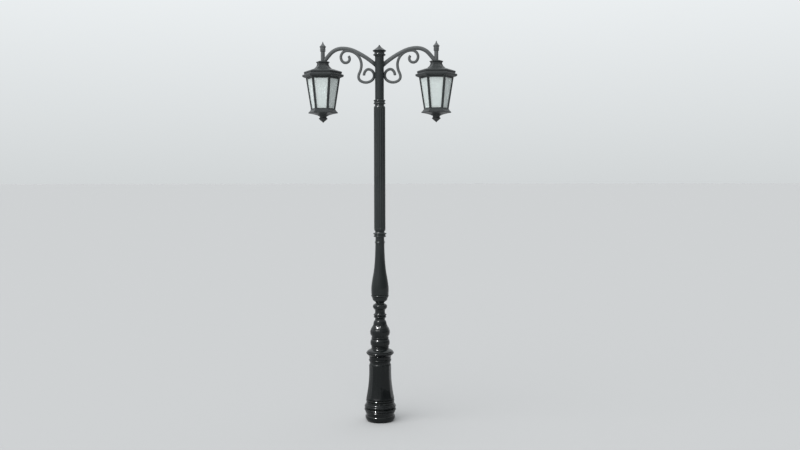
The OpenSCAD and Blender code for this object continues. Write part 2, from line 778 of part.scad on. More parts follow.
pane_latch(-1);  // pane_latch_left
pane_latch(1);  // pane_latch_right
lantern_tray(-1);  // lantern_tray_left
lantern_tray(1);  // lantern_tray_right
pendant(-1);  // pendant_left
pendant(1);  // pendant_right
lamp_holder(-1);  // lamp_holder_left
lamp_holder(1);  // lamp_holder_right
lamp(-1);  // lamp_left
lamp(1);  // lamp_right
pane_hinge_pins();
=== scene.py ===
import json
from math import asin, atan, ceil, cos, degrees, hypot, pi, radians, sin, sqrt, tan

import bmesh
import bpy
from mathutils import Matrix, Vector

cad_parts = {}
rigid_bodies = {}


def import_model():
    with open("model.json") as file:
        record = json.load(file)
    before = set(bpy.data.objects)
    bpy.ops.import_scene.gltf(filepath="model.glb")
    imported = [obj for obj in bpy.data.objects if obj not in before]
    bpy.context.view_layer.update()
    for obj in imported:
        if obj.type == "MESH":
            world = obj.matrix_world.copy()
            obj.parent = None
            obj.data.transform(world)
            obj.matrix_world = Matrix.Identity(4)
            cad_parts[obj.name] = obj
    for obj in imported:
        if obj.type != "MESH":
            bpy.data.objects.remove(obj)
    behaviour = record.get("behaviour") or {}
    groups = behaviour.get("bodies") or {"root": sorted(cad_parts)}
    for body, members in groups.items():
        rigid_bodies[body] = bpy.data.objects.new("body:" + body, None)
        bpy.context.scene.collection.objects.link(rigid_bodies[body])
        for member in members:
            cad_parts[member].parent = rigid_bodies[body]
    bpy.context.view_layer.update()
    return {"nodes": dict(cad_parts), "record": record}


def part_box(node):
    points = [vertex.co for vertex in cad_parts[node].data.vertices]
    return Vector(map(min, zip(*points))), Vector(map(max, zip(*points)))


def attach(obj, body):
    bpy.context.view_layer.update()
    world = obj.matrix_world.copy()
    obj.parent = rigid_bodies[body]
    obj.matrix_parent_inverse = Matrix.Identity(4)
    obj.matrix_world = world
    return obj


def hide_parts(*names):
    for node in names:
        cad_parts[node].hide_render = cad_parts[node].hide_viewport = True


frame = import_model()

scene = bpy.context.scene
MM = 0.001                      # outlines are in millimetres, Blender is in metres
SLOT_OF = {part["node"]: part["material_slot"] for part in frame["record"]["subparts"]}
BODIES = frame["record"]["behaviour"]["bodies"]
BODY_OF = {name: body for body, names in BODIES.items() for name in names}
SIDES = {"left": -1, "right": 1}
BOXES = {name: [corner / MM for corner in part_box(name)] for name in frame["nodes"]}


def low(node):
    """Height of a CAD node's underside, in millimetres."""
    return BOXES[node][0].z


def high(node):
    return BOXES[node][1].z


def tall(node):
    return high(node) - low(node)


# ---- Camera, light and floor ----------------------------------------------

VIEW_AZ = 4.0                   # degrees the camera stands to the right of the post's front
VIEW_DISTANCE = 9.04
VIEW_HEIGHT = 2.521
VIEW_PITCH = 2.80               # degrees the camera looks down
VIEW_TURN = 1.353               # degrees it looks to the right of the post
VIEW_ROLL = 0.074
LENS = 38.61
SENSOR = 36
FAR = 9000                      # metres the camera sees
FLOOR_HALF = 3000
FLOOR_COLOUR = (0.407, 0.409, 0.409, 1)
HORIZON = (0.645, 0.672, 0.680)
ZENITH = (1.55, 1.60, 1.64)
DIM_SIDE = (0.85, -0.53, 0.0)   # the sky lights the post less from this side, its right and front
DIM_LEVEL = 0.20
KEY = (2.5, -33, 38, 80)        # strength, then azimuth, elevation and width in degrees
GLINTS = (12.0, -42, 48, 2.2)
LIGHT_AIM = Vector((0, 0, 2.5))
LIGHT_AWAY = 9                  # metres


def add_camera():
    data = bpy.data.cameras.new("camera")
    data.lens = LENS
    data.sensor_width = SENSOR
    data.clip_end = FAR
    camera = bpy.data.objects.new("camera", data)
    az = radians(VIEW_AZ)
    camera.location = (VIEW_DISTANCE * sin(az), -VIEW_DISTANCE * cos(az), VIEW_HEIGHT)
    camera.rotation_euler = (radians(90 - VIEW_PITCH), radians(VIEW_ROLL), radians(VIEW_AZ - VIEW_TURN))
    scene.collection.objects.link(camera)
    scene.camera = camera


def add_sky():
    """A pale studio sky, brighter overhead, that lights the post less from its dim side."""
    world = bpy.data.worlds.new("sky")
    world.use_nodes = True
    scene.world = world
    nodes, links = world.node_tree.nodes, world.node_tree.links
    coords = nodes.new("ShaderNodeTexCoord").outputs["Generated"]
    background = nodes["Background"]

    parts = nodes.new("ShaderNodeSeparateXYZ")
    rise = nodes.new("ShaderNodeMapRange")
    colour = nodes.new("ShaderNodeMix")
    colour.data_type = "RGBA"
    colour.inputs["A"].default_value = (*HORIZON, 1)
    colour.inputs["B"].default_value = (*ZENITH, 1)
    links.new(coords, parts.inputs[0])
    links.new(parts.outputs["Z"], rise.inputs["Value"])
    links.new(rise.outputs["Result"], colour.inputs["Factor"])
    links.new(colour.outputs["Result"], background.inputs["Color"])

    towards = nodes.new("ShaderNodeVectorMath")
    towards.operation = "DOT_PRODUCT"
    towards.inputs[1].default_value = DIM_SIDE
    strength = nodes.new("ShaderNodeMapRange")
    strength.inputs["To Min"].default_value = 1.0
    strength.inputs["To Max"].default_value = DIM_LEVEL
    seen = nodes.new("ShaderNodeMath")
    seen.operation = "MAXIMUM"
    links.new(coords, towards.inputs[0])
    links.new(towards.outputs["Value"], strength.inputs["Value"])
    links.new(nodes.new("ShaderNodeLightPath").outputs["Is Camera Ray"], seen.inputs[0])
    links.new(strength.outputs["Result"], seen.inputs[1])
    links.new(seen.outputs[0], background.inputs["Strength"])


def add_sun(name, energy, azimuth, elevation, width):
    """A distant light from a direction in degrees, width degrees across."""
    data = bpy.data.lights.new(name, "SUN")
    data.energy = energy
    data.angle = radians(width)
    light = bpy.data.objects.new(name, data)
    az, el = radians(azimuth), radians(elevation)
    away = Vector((sin(az) * cos(el), -cos(az) * cos(el), sin(el)))
    light.location = LIGHT_AIM + away * LIGHT_AWAY
    light.rotation_euler = away.to_track_quat("Z", "Y").to_euler()
    scene.collection.objects.link(light)
    return light


def light_only(light, pieces):
    """Keeps a light to some of the pieces."""
    lit = bpy.data.collections.new("lit by " + light.name)
    for piece in pieces:
        lit.objects.link(piece)
    light.light_linking.receiver_collection = lit


def add_floor():
    corners = [(x * FLOOR_HALF, y * FLOOR_HALF, 0) for x, y in ((-1, -1), (1, -1), (1, 1), (-1, 1))]
    mesh = bpy.data.meshes.new("floor")
    mesh.from_pydata(corners, [], [(0, 1, 2, 3)])
    floor = bpy.data.objects.new("floor", mesh)
    scene.collection.objects.link(floor)
    material = bpy.data.materials.new("floor")
    material.use_nodes = True
    shader = material.node_tree.nodes["Principled BSDF"]
    shader.inputs["Base Color"].default_value = FLOOR_COLOUR
    shader.inputs["Roughness"].default_value = 1.0
    shader.inputs["Specular IOR Level"].default_value = 0.0
    mesh.materials.append(material)


# ---- Materials ------------------------------------------------------------

class Recipe:
    """Short calls for building one procedural material round a Principled shader."""

    def __init__(self, name, **constants):
        self.material = bpy.data.materials.new(name)
        self.material.use_nodes = True
        self.tree = self.material.node_tree
        self.shader = self.tree.nodes["Principled BSDF"]
        for key, value in constants.items():
            self.shader.inputs[key.replace("_", " ")].default_value = value
        self.where = self.add("ShaderNodeTexCoord").outputs["Object"]

    def add(self, kind, **inputs):
        node = self.tree.nodes.new(kind)
        for key, value in inputs.items():
            self.feed(node.inputs[key.replace("_", " ")], value)
        return node

    def feed(self, socket, value):
        if isinstance(value, bpy.types.NodeSocket):
            self.tree.links.new(value, socket)
        else:
            socket.default_value = value

    def noise(self, scale, detail=3.0, stretch=(1, 1, 1)):
        place = self.add("ShaderNodeMapping", Vector=self.where, Scale=stretch).outputs[0]
        return self.add("ShaderNodeTexNoise", Vector=place, Scale=scale, Detail=detail).outputs["Fac"]

    def spread(self, value, start, end, first=0.0, last=1.0):
        """The value, taken from the range start to end into first to last."""
        node = self.add("ShaderNodeMapRange", Value=value)
        for key, number in zip(("From Min", "From Max", "To Min", "To Max"), (start, end, first, last)):
            self.feed(node.inputs[key], number)
        return node.outputs["Result"]

    def math(self, operation, a, b):
        node = self.tree.nodes.new("ShaderNodeMath")
        node.operation = operation
        node.use_clamp = True
        self.feed(node.inputs[0], a)
        self.feed(node.inputs[1], b)
        return node.outputs[0]

    def mix(self, share, a, b):
        node = self.tree.nodes.new("ShaderNodeMix")
        node.data_type = "RGBA"
        self.feed(node.inputs["Factor"], share)
        self.feed(node.inputs["A"], a if isinstance(a, bpy.types.NodeSocket) else (*a, 1))
        self.feed(node.inputs["B"], b if isinstance(b, bpy.types.NodeSocket) else (*b, 1))
        return node.outputs["Result"]

    def bumps(self, *layers):
        """Adds layers of (height, strength, distance) to the surface."""
        normal = None
        for height, strength, distance in layers:
            node = self.add("ShaderNodeBump", Height=height, Strength=strength, Distance=distance)
            if normal is not None:
                self.feed(node.inputs["Normal"], normal)
            normal = node.outputs["Normal"]
        self.feed(self.shader.inputs["Normal"], normal)

    def up(self):
        """How far the surface faces up, from -1 to 1."""
        normal = self.add("ShaderNodeNewGeometry").outputs["Normal"]
        return self.add("ShaderNodeSeparateXYZ", Vector=normal).outputs["Z"]

    def edges(self):
        """1 on outside edges and 0 elsewhere."""
        sharpness = self.add("ShaderNodeNewGeometry").outputs["Pointiness"]
        return self.spread(sharpness, 0.52, 0.60)

    def aside(self):
        """Distance from the post's own axis, along the arms."""
        across = self.add("ShaderNodeSeparateXYZ", Vector=self.where).outputs["X"]
        return self.math("ABSOLUTE", across, 0.0)

    def height(self):
        return self.add("ShaderNodeSeparateXYZ", Vector=self.where).outputs["Z"]

    def finish(self, colour, roughness):
        self.feed(self.shader.inputs["Base Color"], colour)
        self.feed(self.shader.inputs["Roughness"], roughness)
        return self.material


def gloss_paint(name, gloss, cast, shine, haze_colour, sheen_colour):
    """Near-black green-grey gloss paint, painted paler higher up as painted haze and paler still out on the
    arms as painted sheen.
    Cast is how uneven the metal under it is, from 0 to 1."""
    r = Recipe(name, Specular_IOR_Level=0.10, Coat_Weight=shine, Coat_Roughness=0.05)
    patches = r.noise(6.0, 5.0)
    runs = r.noise(14.0, 4.0, (3.0, 3.0, 0.35))
    # painted haze: the colour is painted paler from 0.7 m up to 2.4 m, lightening the upper post as haze
    # does
    painted_haze = r.spread(r.height(), 0.7, 2.4)
    # painted sheen: out along the arms the colour goes paler still, for the sky's sheen on their tops
    haze_and_sheen = r.mix(r.spread(r.aside(), 0.055, 0.080), haze_colour, sheen_colour)
    colour = r.mix(painted_haze, POST_FRESH, haze_and_sheen)
    colour = r.mix(r.spread(patches, 0.45, 0.80, 0.0, 0.30), colour, (0.014, 0.017, 0.017))
    colour = r.mix(r.spread(runs, 0.58, 0.80, 0.0, 0.18), colour, (0.030, 0.034, 0.033))
    ledge = r.math("MULTIPLY", r.spread(r.up(), 0.55, 0.98), r.spread(r.noise(38.0, 6.0), 0.42, 0.72))
    colour = r.mix(r.math("MULTIPLY", ledge, 0.30), colour, (0.075, 0.077, 0.071))
    worn = r.math("MULTIPLY", r.edges(), r.spread(r.noise(90.0, 6.0), 0.55, 0.68))
    colour = r.mix(r.math("MULTIPLY", worn, 0.55), colour, (0.085, 0.088, 0.086))
    rough = r.spread(patches, 0.35, 0.70, gloss, gloss + 0.09)
    rough = r.math("ADD", rough, r.math("MULTIPLY", ledge, 0.30))
    rough = r.math("ADD", rough, r.math("MULTIPLY", painted_haze, 0.06))
    r.bumps((r.noise(34.0, 3.0), 0.10 + 0.12 * cast, 0.0012),
            (r.noise(420.0, 2.0), 0.05 + 0.05 * cast, 0.0003))
    return r.finish(colour, rough)


def primed_steel():
    r = Recipe("primed_steel", Metallic=0.35)
    streaks = r.noise(30.0, 6.0, (1, 1, 0.15))
    rust = r.spread(r.noise(55.0, 8.0), 0.60, 0.74, 0.0, 0.8)
    colour = r.mix(streaks, (0.10, 0.10, 0.102), (0.20, 0.20, 0.20))
    colour = r.mix(rust, colour, (0.16, 0.075, 0.035))
    r.bumps((r.noise(240.0, 4.0), 0.20, 0.0004))
    return r.finish(colour, r.spread(streaks, 0.3, 0.7, 0.42, 0.66))


def plated_steel():
    r = Recipe("plated_steel", Metallic=1.0)
    grain = r.noise(700.0, 3.0, (1, 1, 0.08))
    stain = r.spread(r.noise(70.0, 6.0), 0.55, 0.75, 0.0, 0.6)
    colour = r.mix(grain, (0.48, 0.48, 0.47), (0.62, 0.62, 0.60))
    colour = r.mix(stain, colour, (0.30, 0.28, 0.24))
    r.bumps((grain, 0.12, 0.0002))
    return r.finish(colour, r.spread(grain, 0.3, 0.7, 0.26, 0.42))


def brass():
    r = Recipe("brass", Metallic=1.0)
    tarnish = r.noise(90.0, 6.0)
    r.bumps((r.noise(500.0, 3.0), 0.10, 0.0002))
    colour = r.mix(tarnish, (0.60, 0.43, 0.18), (0.36, 0.26, 0.13))
    return r.finish(colour, r.spread(tarnish, 0.3, 0.7, 0.28, 0.46))


def moulded(name, pale, dark, roughness, grain=900.0):
    """Moulded plastic, laminate or glazed ceramic with a fine grain and a little grime."""
    r = Recipe(name)
    grime = r.spread(r.noise(26.0, 7.0), 0.45, 0.80)
    r.bumps((r.noise(grain, 2.0), 0.10, 0.0002), (r.noise(30.0, 2.0), 0.05, 0.0006))
    return r.finish(r.mix(grime, pale, dark), r.spread(grime, 0.0, 1.0, roughness, roughness + 0.15))


def frosted_glass():
    """Pale green-white glass, frosted on the inside, with faint rain marks and painted shade low down."""
    r = Recipe("frosted_glass", IOR=1.5, Transmission_Weight=0.35, Coat_Weight=0.4, Coat_Roughness=0.08)
    cloud = r.noise(7.0, 4.0)
    marks = r.spread(r.noise(60.0, 5.0, (1.5, 1.5, 0.12)), 0.56, 0.74, 0.0, 0.5)
    # painted shade: the panes darken towards their bottoms, for the sky reflecting brighter near their tops
    drop = r.spread(r.height(), 3.29, 3.62, 1.0, 0.0)
    colour = r.mix(cloud, (0.86, 0.925, 0.905), (0.82, 0.885, 0.87))
    colour = r.mix(r.math("MULTIPLY", drop, 0.30), colour, (0.66, 0.715, 0.70))
    colour = r.mix(r.math("MULTIPLY", marks, 0.30), colour, (0.70, 0.73, 0.71))
    r.bumps((r.noise(900.0, 2.0), 0.16, 0.0003), (r.noise(20.0, 2.0), 0.05, 0.001))
    return r.finish(colour, r.spread(marks, 0.0, 0.5, 0.34, 0.48))


def lamp_shell():
    r = Recipe("lamp_shell", Coat_Weight=0.5, Coat_Roughness=0.1)
    cloud = r.noise(40.0, 3.0)
    r.bumps((r.noise(600.0, 2.0), 0.04, 0.0002))
    colour = r.mix(cloud, (0.88, 0.87, 0.83), (0.80, 0.79, 0.75))
    return r.finish(colour, r.spread(cloud, 0.3, 0.7, 0.22, 0.32))


# The paint's colour low on the post, then the paler colours that paint haze higher up and sky sheen out on
# the arms
POST_FRESH = (0.0042, 0.0054, 0.0056)
POST_HAZE = (0.0275, 0.0315, 0.0320)
ARM_SHEEN = (0.1050, 0.1110, 0.1120)
LANTERN_HAZE = (0.0370, 0.0405, 0.0410)

MATERIALS = {
    "cast_paint": gloss_paint("cast_paint", 0.15, 1.0, 0.30, POST_HAZE, POST_HAZE),
    "steel_paint": gloss_paint("steel_paint", 0.24, 0.3, 0.06, POST_HAZE, ARM_SHEEN),
    "lantern_paint": gloss_paint("lantern_paint", 0.26, 0.5, 0.10, LANTERN_HAZE, LANTERN_HAZE),
    "primed_steel": primed_steel(),
    "frosted_glass": frosted_glass(),
    "plated_steel": plated_steel(),
    "board": moulded("board", (0.34, 0.35, 0.32), (0.26, 0.26, 0.24), 0.50, 300.0),
    "pale_plastic": moulded("pale_plastic", (0.70, 0.70, 0.67), (0.58, 0.57, 0.53), 0.38),
    "dark_plastic": moulded("dark_plastic", (0.028, 0.028, 0.032), (0.06, 0.06, 0.06), 0.28),
    "brass": brass(),
    "porcelain": moulded("porcelain", (0.82, 0.81, 0.77), (0.68, 0.66, 0.60), 0.16),
    "lamp_shell": lamp_shell(),
}


def coat(piece, slot):
    piece.data.materials.clear()
    piece.data.materials.append(MATERIALS[slot])


# ---- Mesh building --------------------------------------------------------

SHARP = 32                      # degrees between faces from which an edge stays sharp
CAD_SHARP = 28


def curve(a, b, c, steps=10):
    """Points (radius, height) of a curve from a to c, pulled towards b."""
    return [tuple((1 - t) ** 2 * p + 2 * t * (1 - t) * q + t * t * s for p, q, s in zip(a, b, c))
            for t in (i / steps for i in range(steps + 1))]


def bead(radius, z, half, steps=12):
    """Points of a half-round bead of outermost radius `radius`, middle z and half height `half`."""
    turns = [pi * i / steps for i in range(steps + 1)]
    return [(radius - half + half * sin(t), z - half * cos(t)) for t in turns]


def lifted(outline, z):
    """An outline whose heights were counted from z."""
    return [(r, h + z) for r, h in outline]


def dense(outline, step):
    """The outline with no gap between points longer than step."""
    points = [outline[0]]
    for (r0, z0), (r1, z1) in zip(outline, outline[1:]):
        pieces = max(1, ceil(hypot(r1 - r0, z1 - z0) / step))
        shares = [i / pieces for i in range(1, pieces + 1)]
        points += [(r0 + (r1 - r0) * share, z0 + (z1 - z0) * share) for share in shares]
    return points


def make_piece(name, points, faces, node=None, place=None, sharp=SHARP):
    """A mesh object from points in millimetres. It stands for the CAD node, if one is named."""
    mesh = bpy.data.meshes.new(name)
    place = place or Matrix.Identity(4)
    mesh.from_pydata([(place @ Vector(p)) * MM for p in points], [], faces)
    work = bmesh.new()
    work.from_mesh(mesh)
    bmesh.ops.remove_doubles(work, verts=work.verts, dist=1e-6)
    bmesh.ops.recalc_face_normals(work, faces=work.faces)
    work.to_mesh(mesh)
    work.free()
    mesh.shade_smooth()
    mesh.set_sharp_from_angle(angle=radians(sharp))
    piece = bpy.data.objects.new(name, mesh)
    scene.collection.objects.link(piece)
    if node:
        dress(piece, node)
    return piece


def dress(piece, node):
    """Gives a piece the material of a CAD node's slot and the node's body, and lets it stand for the node.
    """
    coat(piece, SLOT_OF[node])
    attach(piece, BODY_OF[node])
    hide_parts(node)


def loft(rings, closed):
    """Points and faces of a skin over rings of equally many points: a tube that is closed into a ring,
    or one that has a cap at each end."""
    count = len(rings[0])
    points = [p for ring in rings for p in ring]
    faces = []
    for i in range(len(rings) if closed else len(rings) - 1):
        a, b = i * count, (i + 1) % len(rings) * count
        faces += [(a + j, a + (j + 1) % count, b + (j + 1) % count, b + j) for j in range(count)]
    if not closed:
        faces.append(tuple(reversed(range(count))))
        faces.append(tuple(range(len(points) - count, len(points))))
    return points, faces


def even_angles(count):
    return [360 * i / count for i in range(count)]


def polar(radius, angle, z):
    return (radius * cos(radians(angle)), radius * sin(radians(angle)), z)


def turned_rings(outline, bore, angles, relief):
    rings = [[polar(r + (relief(a, r, z) if relief else 0), a, z) for a in angles] for r, z in outline]
    if bore:
        rings += [[polar(bore, a, z) for a in angles] for z in (outline[-1][1], outline[0][1])]
    return rings


def turned(name, outline, bore, node, around=128, relief=None, angles=None, place=None):
    """A casting turned from its outline, with a bore through it or solid ends, for a CAD node."""
    rings = turned_rings(outline, bore, angles or even_angles(around), relief)
    points, faces = loft(rings, bool(bore))
    make_piece(name, points, faces, node, place)


def cut_shape(piece, other, operation):
    """Applies a boolean with the other object, which is then removed."""
    modifier = piece.modifiers.new("cut", "BOOLEAN")
    modifier.operation = operation
    modifier.object = other
    modifier.solver = "EXACT"
    bpy.context.view_layer.update()
    result = bpy.data.meshes.new_from_object(piece.evaluated_get(bpy.context.evaluated_depsgraph_get()))
    piece.modifiers.clear()
    piece.data = result
    bpy.data.objects.remove(other)
    result.shade_smooth()
    result.set_sharp_from_angle(angle=radians(SHARP))


# ---- Castings up the post -------------------------------------------------

CORE_BORE = BOXES["core_tube"][1].x + 0.5
CAP_BORE = 8.5
FOOT_BORE = 130
NECK_R = BOXES["arm_sleeve"][1].y
FLUTE_TURN = 5.85               # angle of the shaft's first flute
SHAFT_FLUTES = 16
SHAFT_R = 60.0
GROOVE_R = 10.0
GROOVE_DEEP = 4.0
GROOVE_END = 34                 # from an end of the shaft to the middle of a groove's ball end
BELL_ARC = 1426.0               # radius of the bell's hollow side, which is steepest at its waist
BELL_WAIST = 540.0
WAIST_R = 116.5
BELL_FOOT = 240                 # height at which the curved side begins
BELL_WALL = 12
BELL_FLUTES = 8
FLUTE_HALF = 17.5               # degrees
FLUTE_Z = (244, 598)
FLUTE_END = 22
FLUTE_DEEP = 4.8
BULB_LEAVES = 8
LEAF_DEEP = 2.6
DOOR_AZ = 77.5
DOOR_Z = (262.0, 545.0)
DOOR_HALF = 40.0


# The outlines are lists of (radius, height above the casting's underside), except the bell's,
# whose heights are above the ground.


def foot_outline():
    return ([(142, 0)] + curve((148, 12), (158, 24), (158, 42)) + curve((158, 46), (158, 54), (150, 60)) +
            [(149, 68), (151, 77)] + curve((154, 86), (157, 90), (158, 97)) + [(161, 102)] +
            bead(168.6, 121, 12) + [(164.6, 140)] + bead(167, 156, 11) +
            curve((157.6, 174), (150, 180), (149, 190)))


def bell_side(z):
    return WAIST_R + BELL_ARC - sqrt(BELL_ARC ** 2 - (z - BELL_WAIST) ** 2)


def bell_outline():
    z = low("bell_base")
    side = [(bell_side(BELL_FOOT + 5 * i), BELL_FOOT + 5 * i) for i in range(61)]
    return ([(148, z), (148, z + 16)] + bead(151.5, z + 29, 10) + [(148.4, z + 46)] + side +
            dense([(WAIST_R, 545), (WAIST_R, 560)], 4) + curve((117, 580), (118.5, 595), (112, 605)) +
            [(108.8, high("bell_base"))])


def bell_hollow(wall):
    """The bell's inner outline at a given wall thickness, with a boss round the core tube on top."""
    side = [(bell_side(BELL_FOOT + 30 * i) - wall, BELL_FOOT + 30 * i) for i in range(11)]
    thinner = BELL_WALL - wall
    return ([(134 + thinner, low("bell_base")), (134 + thinner, 232)] + side +
            [(101 + thinner, 580), (80 + thinner, 596), (CORE_BORE + thinner, 596),
             (CORE_BORE + thinner, high("bell_base"))])


def nearest(angle, first, count):
    """Degrees from the nearest of count equal divisions of the circle."""
    pitch = 360 / count
    return (angle - first + pitch / 2) % pitch - pitch / 2


def bell_relief(angle, r, z):
    """A shallow scooped flute with round ends."""
    bottom, top = FLUTE_Z
    if z <= bottom or z >= top:
        return 0
    width = 1
    for gap in (z - bottom, top - z):
        if gap < FLUTE_END:
            width = sqrt(max(0, 1 - (1 - gap / FLUTE_END) ** 2))
    share = abs(nearest(angle, DOOR_AZ, BELL_FLUTES)) / max(FLUTE_HALF * width, 0.01)
    return -FLUTE_DEEP * width * sqrt(max(0, 1 - share ** 2)) if share < 1 else 0


def flute_angles(first, count, half, steps):
    """Angles with a point on both edges of every flute, closer together inside it."""
    pitch = 360 / count
    flute = [half * (2 * i / steps - 1) for i in range(steps + 1)] + [pitch / 2]
    return [(first + k * pitch + a) % 360 for k in range(count) for a in flute]


def shaft_relief(angle, r, z):
    """A round groove with a ball end, cut into the shaft."""
    ends = (low("fluted_shaft") + GROOVE_END, high("fluted_shaft") - GROOVE_END)
    beyond = max(ends[0] - z, z - ends[1], 0)
    if beyond >= GROOVE_R:
        return 0
    groove = sqrt(GROOVE_R ** 2 - beyond ** 2)
    middle = SHAFT_R + GROOVE_R - GROOVE_DEEP
    turn = radians(nearest(angle, FLUTE_TURN, SHAFT_FLUTES))
    aside = middle * sin(turn)
    if abs(aside) >= groove:
        return 0
    return min(0, middle * cos(turn) - sqrt(groove ** 2 - aside ** 2) - r)


def shaft_outline():
    top = tall("fluted_shaft")
    lower = [(50, 0)] + curve((56, 5), (SHAFT_R, 10), (SHAFT_R, 20), 8)
    upper = curve((SHAFT_R, top - 26), (SHAFT_R, top - 14), (50, top - 4), 8) + [(49, top)]
    near = [(SHAFT_R, 20 + i) for i in range(1, 20)]
    far = [(SHAFT_R, top - 46 + i) for i in range(20)]
    return lower + near + dense([near[-1], far[0]], 60)[1:-1] + far + upper


def bell_collar_outline():
    return ([(108.8, 0)] + curve((110, 10), (114, 22), (115, 26)) + bead(120, 36, 8) +
            [(115, 50), (115.5, 66)] + curve((117.7, 78), (130, 90), (141, 100)) + bead(147, 112, 8) +
            curve((135.5, 131), (122, 142), (98.6, 152)) + [(96, tall("bell_collar"))])


def cushion_outline():
    return ([(93, 0)] + bead(94.5, 20, 4) + [(92.5, 28)] + curve((95, 35), (103, 40), (103.3, 62)) +
            curve((103.3, 68), (103, 88), (93, 98)) + [(91, 105)] + bead(93.5, 114, 6) +
            [(88.6, tall("cushion_ring"))])


def bulb_outline():
    return dense([(88.6, 0)] + curve((90, 10), (102, 20), (105, 45)) +
                 curve((105.2, 52), (105, 68), (97, 82)) + curve((91.4, 97), (78, 116), (73, 133)) +
                 curve((70, 146), (66, 166), (60, 173)) + [(53, tall("gadroon_bulb"))], 2.2)


def bulb_relief(angle, r, z):
    """Two rows of upright pointed leaves that overlap round the bulb."""
    rise = (z - low("gadroon_bulb") - 14) / 128
    if not 0 < rise < 1:
        return 0
    deepest = -LEAF_DEEP * min(1, rise / 0.08, (1 - rise) / 0.10)
    best = deepest
    for first, tip, proud in ((12, 0.90, LEAF_DEEP), (34.5, 1.0, LEAF_DEEP / 2)):
        climb = rise / tip
        if climb >= 1:
            continue
        half = 20 * sqrt(max(0, 1 - climb ** 2.4))
        share = abs(nearest(angle, first, BULB_LEAVES)) / max(half, 0.01)
        if share < 1:
            swell = proud * (1 - share ** 6) * (1 - 0.35 * (1 - share) ** 8)
            best = max(best, deepest + swell * min(1, rise / 0.08, (1 - climb) / 0.08))
    return best


def lower_neck_outline():
    return ([(53, 0), (53, 16)] + bead(67, 32, 9) + [(61, 43.5)] + bead(68.7, 54, 9) +
            curve((58, 65), (47, 85), (56.5, 107)) + curve((63, 116), (76, 124), (76, 144)) +
            curve((76, 148), (75, 158), (60, 168)) + [(44, 176), (44, tall("lower_neck"))])


def baluster_outline():
    return ([(44, 0)] + curve((52, 10), (70, 20), (77, 32)) + curve((80, 43), (83, 56), (88, 64)) +
            bead(94.2, 75, 9) + curve((90.5, 88), (94.5, 138), (92, 165)) +
            curve((92, 165), (88, 215), (74.5, 285), 14) + curve((74.5, 285), (57, 375), (52, 500), 14) +
            curve((52, 500), (49, 560), (48.2, 616)) + curve((48.2, 622), (48.5, 630), (50, 633)) +
            bead(55, 643, 8) + [(48, 656), (46.5, tall("baluster"))])


def lower_ring_outline():
    return ([(46.5, 0), (48, 6)] + bead(66.5, 14, 7) + [(59, 28)] + bead(70.5, 42, 7) +
            curve((54, 52), (48, 60), (50, tall("lower_ring"))))


def upper_ring_outline():
    return ([(49, 0), (50, 8)] + bead(63, 18, 7) + [(56.5, 33)] + bead(63, 48, 7) +
            [(NECK_R, 58), (NECK_R, tall("upper_ring"))])


def sleeve_outline():
    top = tall("arm_sleeve")
    return dense([(NECK_R - 1, 0), (NECK_R, 1), (NECK_R, top - 1), (NECK_R - 1, top)], 20)


def cap_collar_outline():
    return (curve((NECK_R, 0), (50, 8), (58, 12)) + bead(65.8, 20, 7) +
            curve((55, 30), (53, 34), (53, 42)) + [(53, tall("cap_collar"))])


def post_cap_outline():
    return (curve((53, 0), (62, 6), (66, 9)) + bead(70.3, 17, 6) +
            curve((60, 26), (42, 38), (22, 54)) + curve((14, 62), (9, 68), (4, 77)))


def build_castings():
    plain = {
        "foot_ring": (foot_outline(), FOOT_BORE), "bell_collar": (bell_collar_outline(), CORE_BORE),
        "cushion_ring": (cushion_outline(), CORE_BORE), "lower_neck": (lower_neck_outline(), CORE_BORE),
        "baluster": (baluster_outline(), CORE_BORE), "lower_ring": (lower_ring_outline(), CORE_BORE),
        "upper_ring": (upper_ring_outline(), CORE_BORE), "cap_collar": (cap_collar_outline(), CAP_BORE),
        "post_cap": (post_cap_outline(), 0), "arm_sleeve": (sleeve_outline(), CORE_BORE),
    }
    for name, (outline, bore) in plain.items():
        turned("cast_" + name, lifted(outline, low(name)), bore, node=name)
    turned("cast_gadroon_bulb", lifted(bulb_outline(), low("gadroon_bulb")), CORE_BORE, around=256,
           relief=bulb_relief, node="gadroon_bulb")
    half = degrees(asin(sqrt(GROOVE_R ** 2 - (GROOVE_R - GROOVE_DEEP) ** 2) / SHAFT_R))
    angles = flute_angles(FLUTE_TURN, SHAFT_FLUTES, half, 10)
    turned("cast_fluted_shaft", lifted(shaft_outline(), low("fluted_shaft")), CORE_BORE, angles=angles,
           relief=shaft_relief, node="fluted_shaft")


# ---- Bell and its service door --------------------------------------------

def at_door():
    """The service door's frame, in which the door faces +Y."""
    return Matrix.Rotation(radians(DOOR_AZ - 90), 4, "Z")


def block(low_corner, high_corner, place):
    """A box used for cutting."""
    (x0, y0, z0), (x1, y1, z1) = low_corner, high_corner
    rings = [[(x0, y0, z), (x1, y0, z), (x1, y1, z), (x0, y1, z)] for z in (z0, z1)]
    return make_piece("cutter", *loft(rings, False), place=place)


def bell_shell(name, inner):
    """The bell's outer skin over a given inner outline, as one closed ring."""
    angles = flute_angles(DOOR_AZ, BELL_FLUTES, FLUTE_HALF, 22)
    rings = turned_rings(bell_outline(), 0, angles, bell_relief)
    rings += [[polar(r, a, z) for a in angles] for r, z in reversed(inner)]
    return make_piece(name, *loft(rings, True))


def build_bell():
    bell = bell_shell("cast_bell_base", bell_hollow(BELL_WALL))
    opening = block((-DOOR_HALF, CUT_IN, DOOR_Z[0]), (DOOR_HALF, CUT_OUT, DOOR_Z[1]), at_door())
    cut_shape(bell, opening, "DIFFERENCE")
    lug = [(0, 5), (-12, -3), (-16, -22), (2, -20), (2, -9.5), (0, -5)]
    for z in (HINGE_LOW[1], HINGE_HIGH[1]):
        add_parts(bell, knuckle(on_hinge(z), lug, KNUCKLE_R, PIN_HOLE_R, KNUCKLE_H))
    dress(bell, "bell_base")


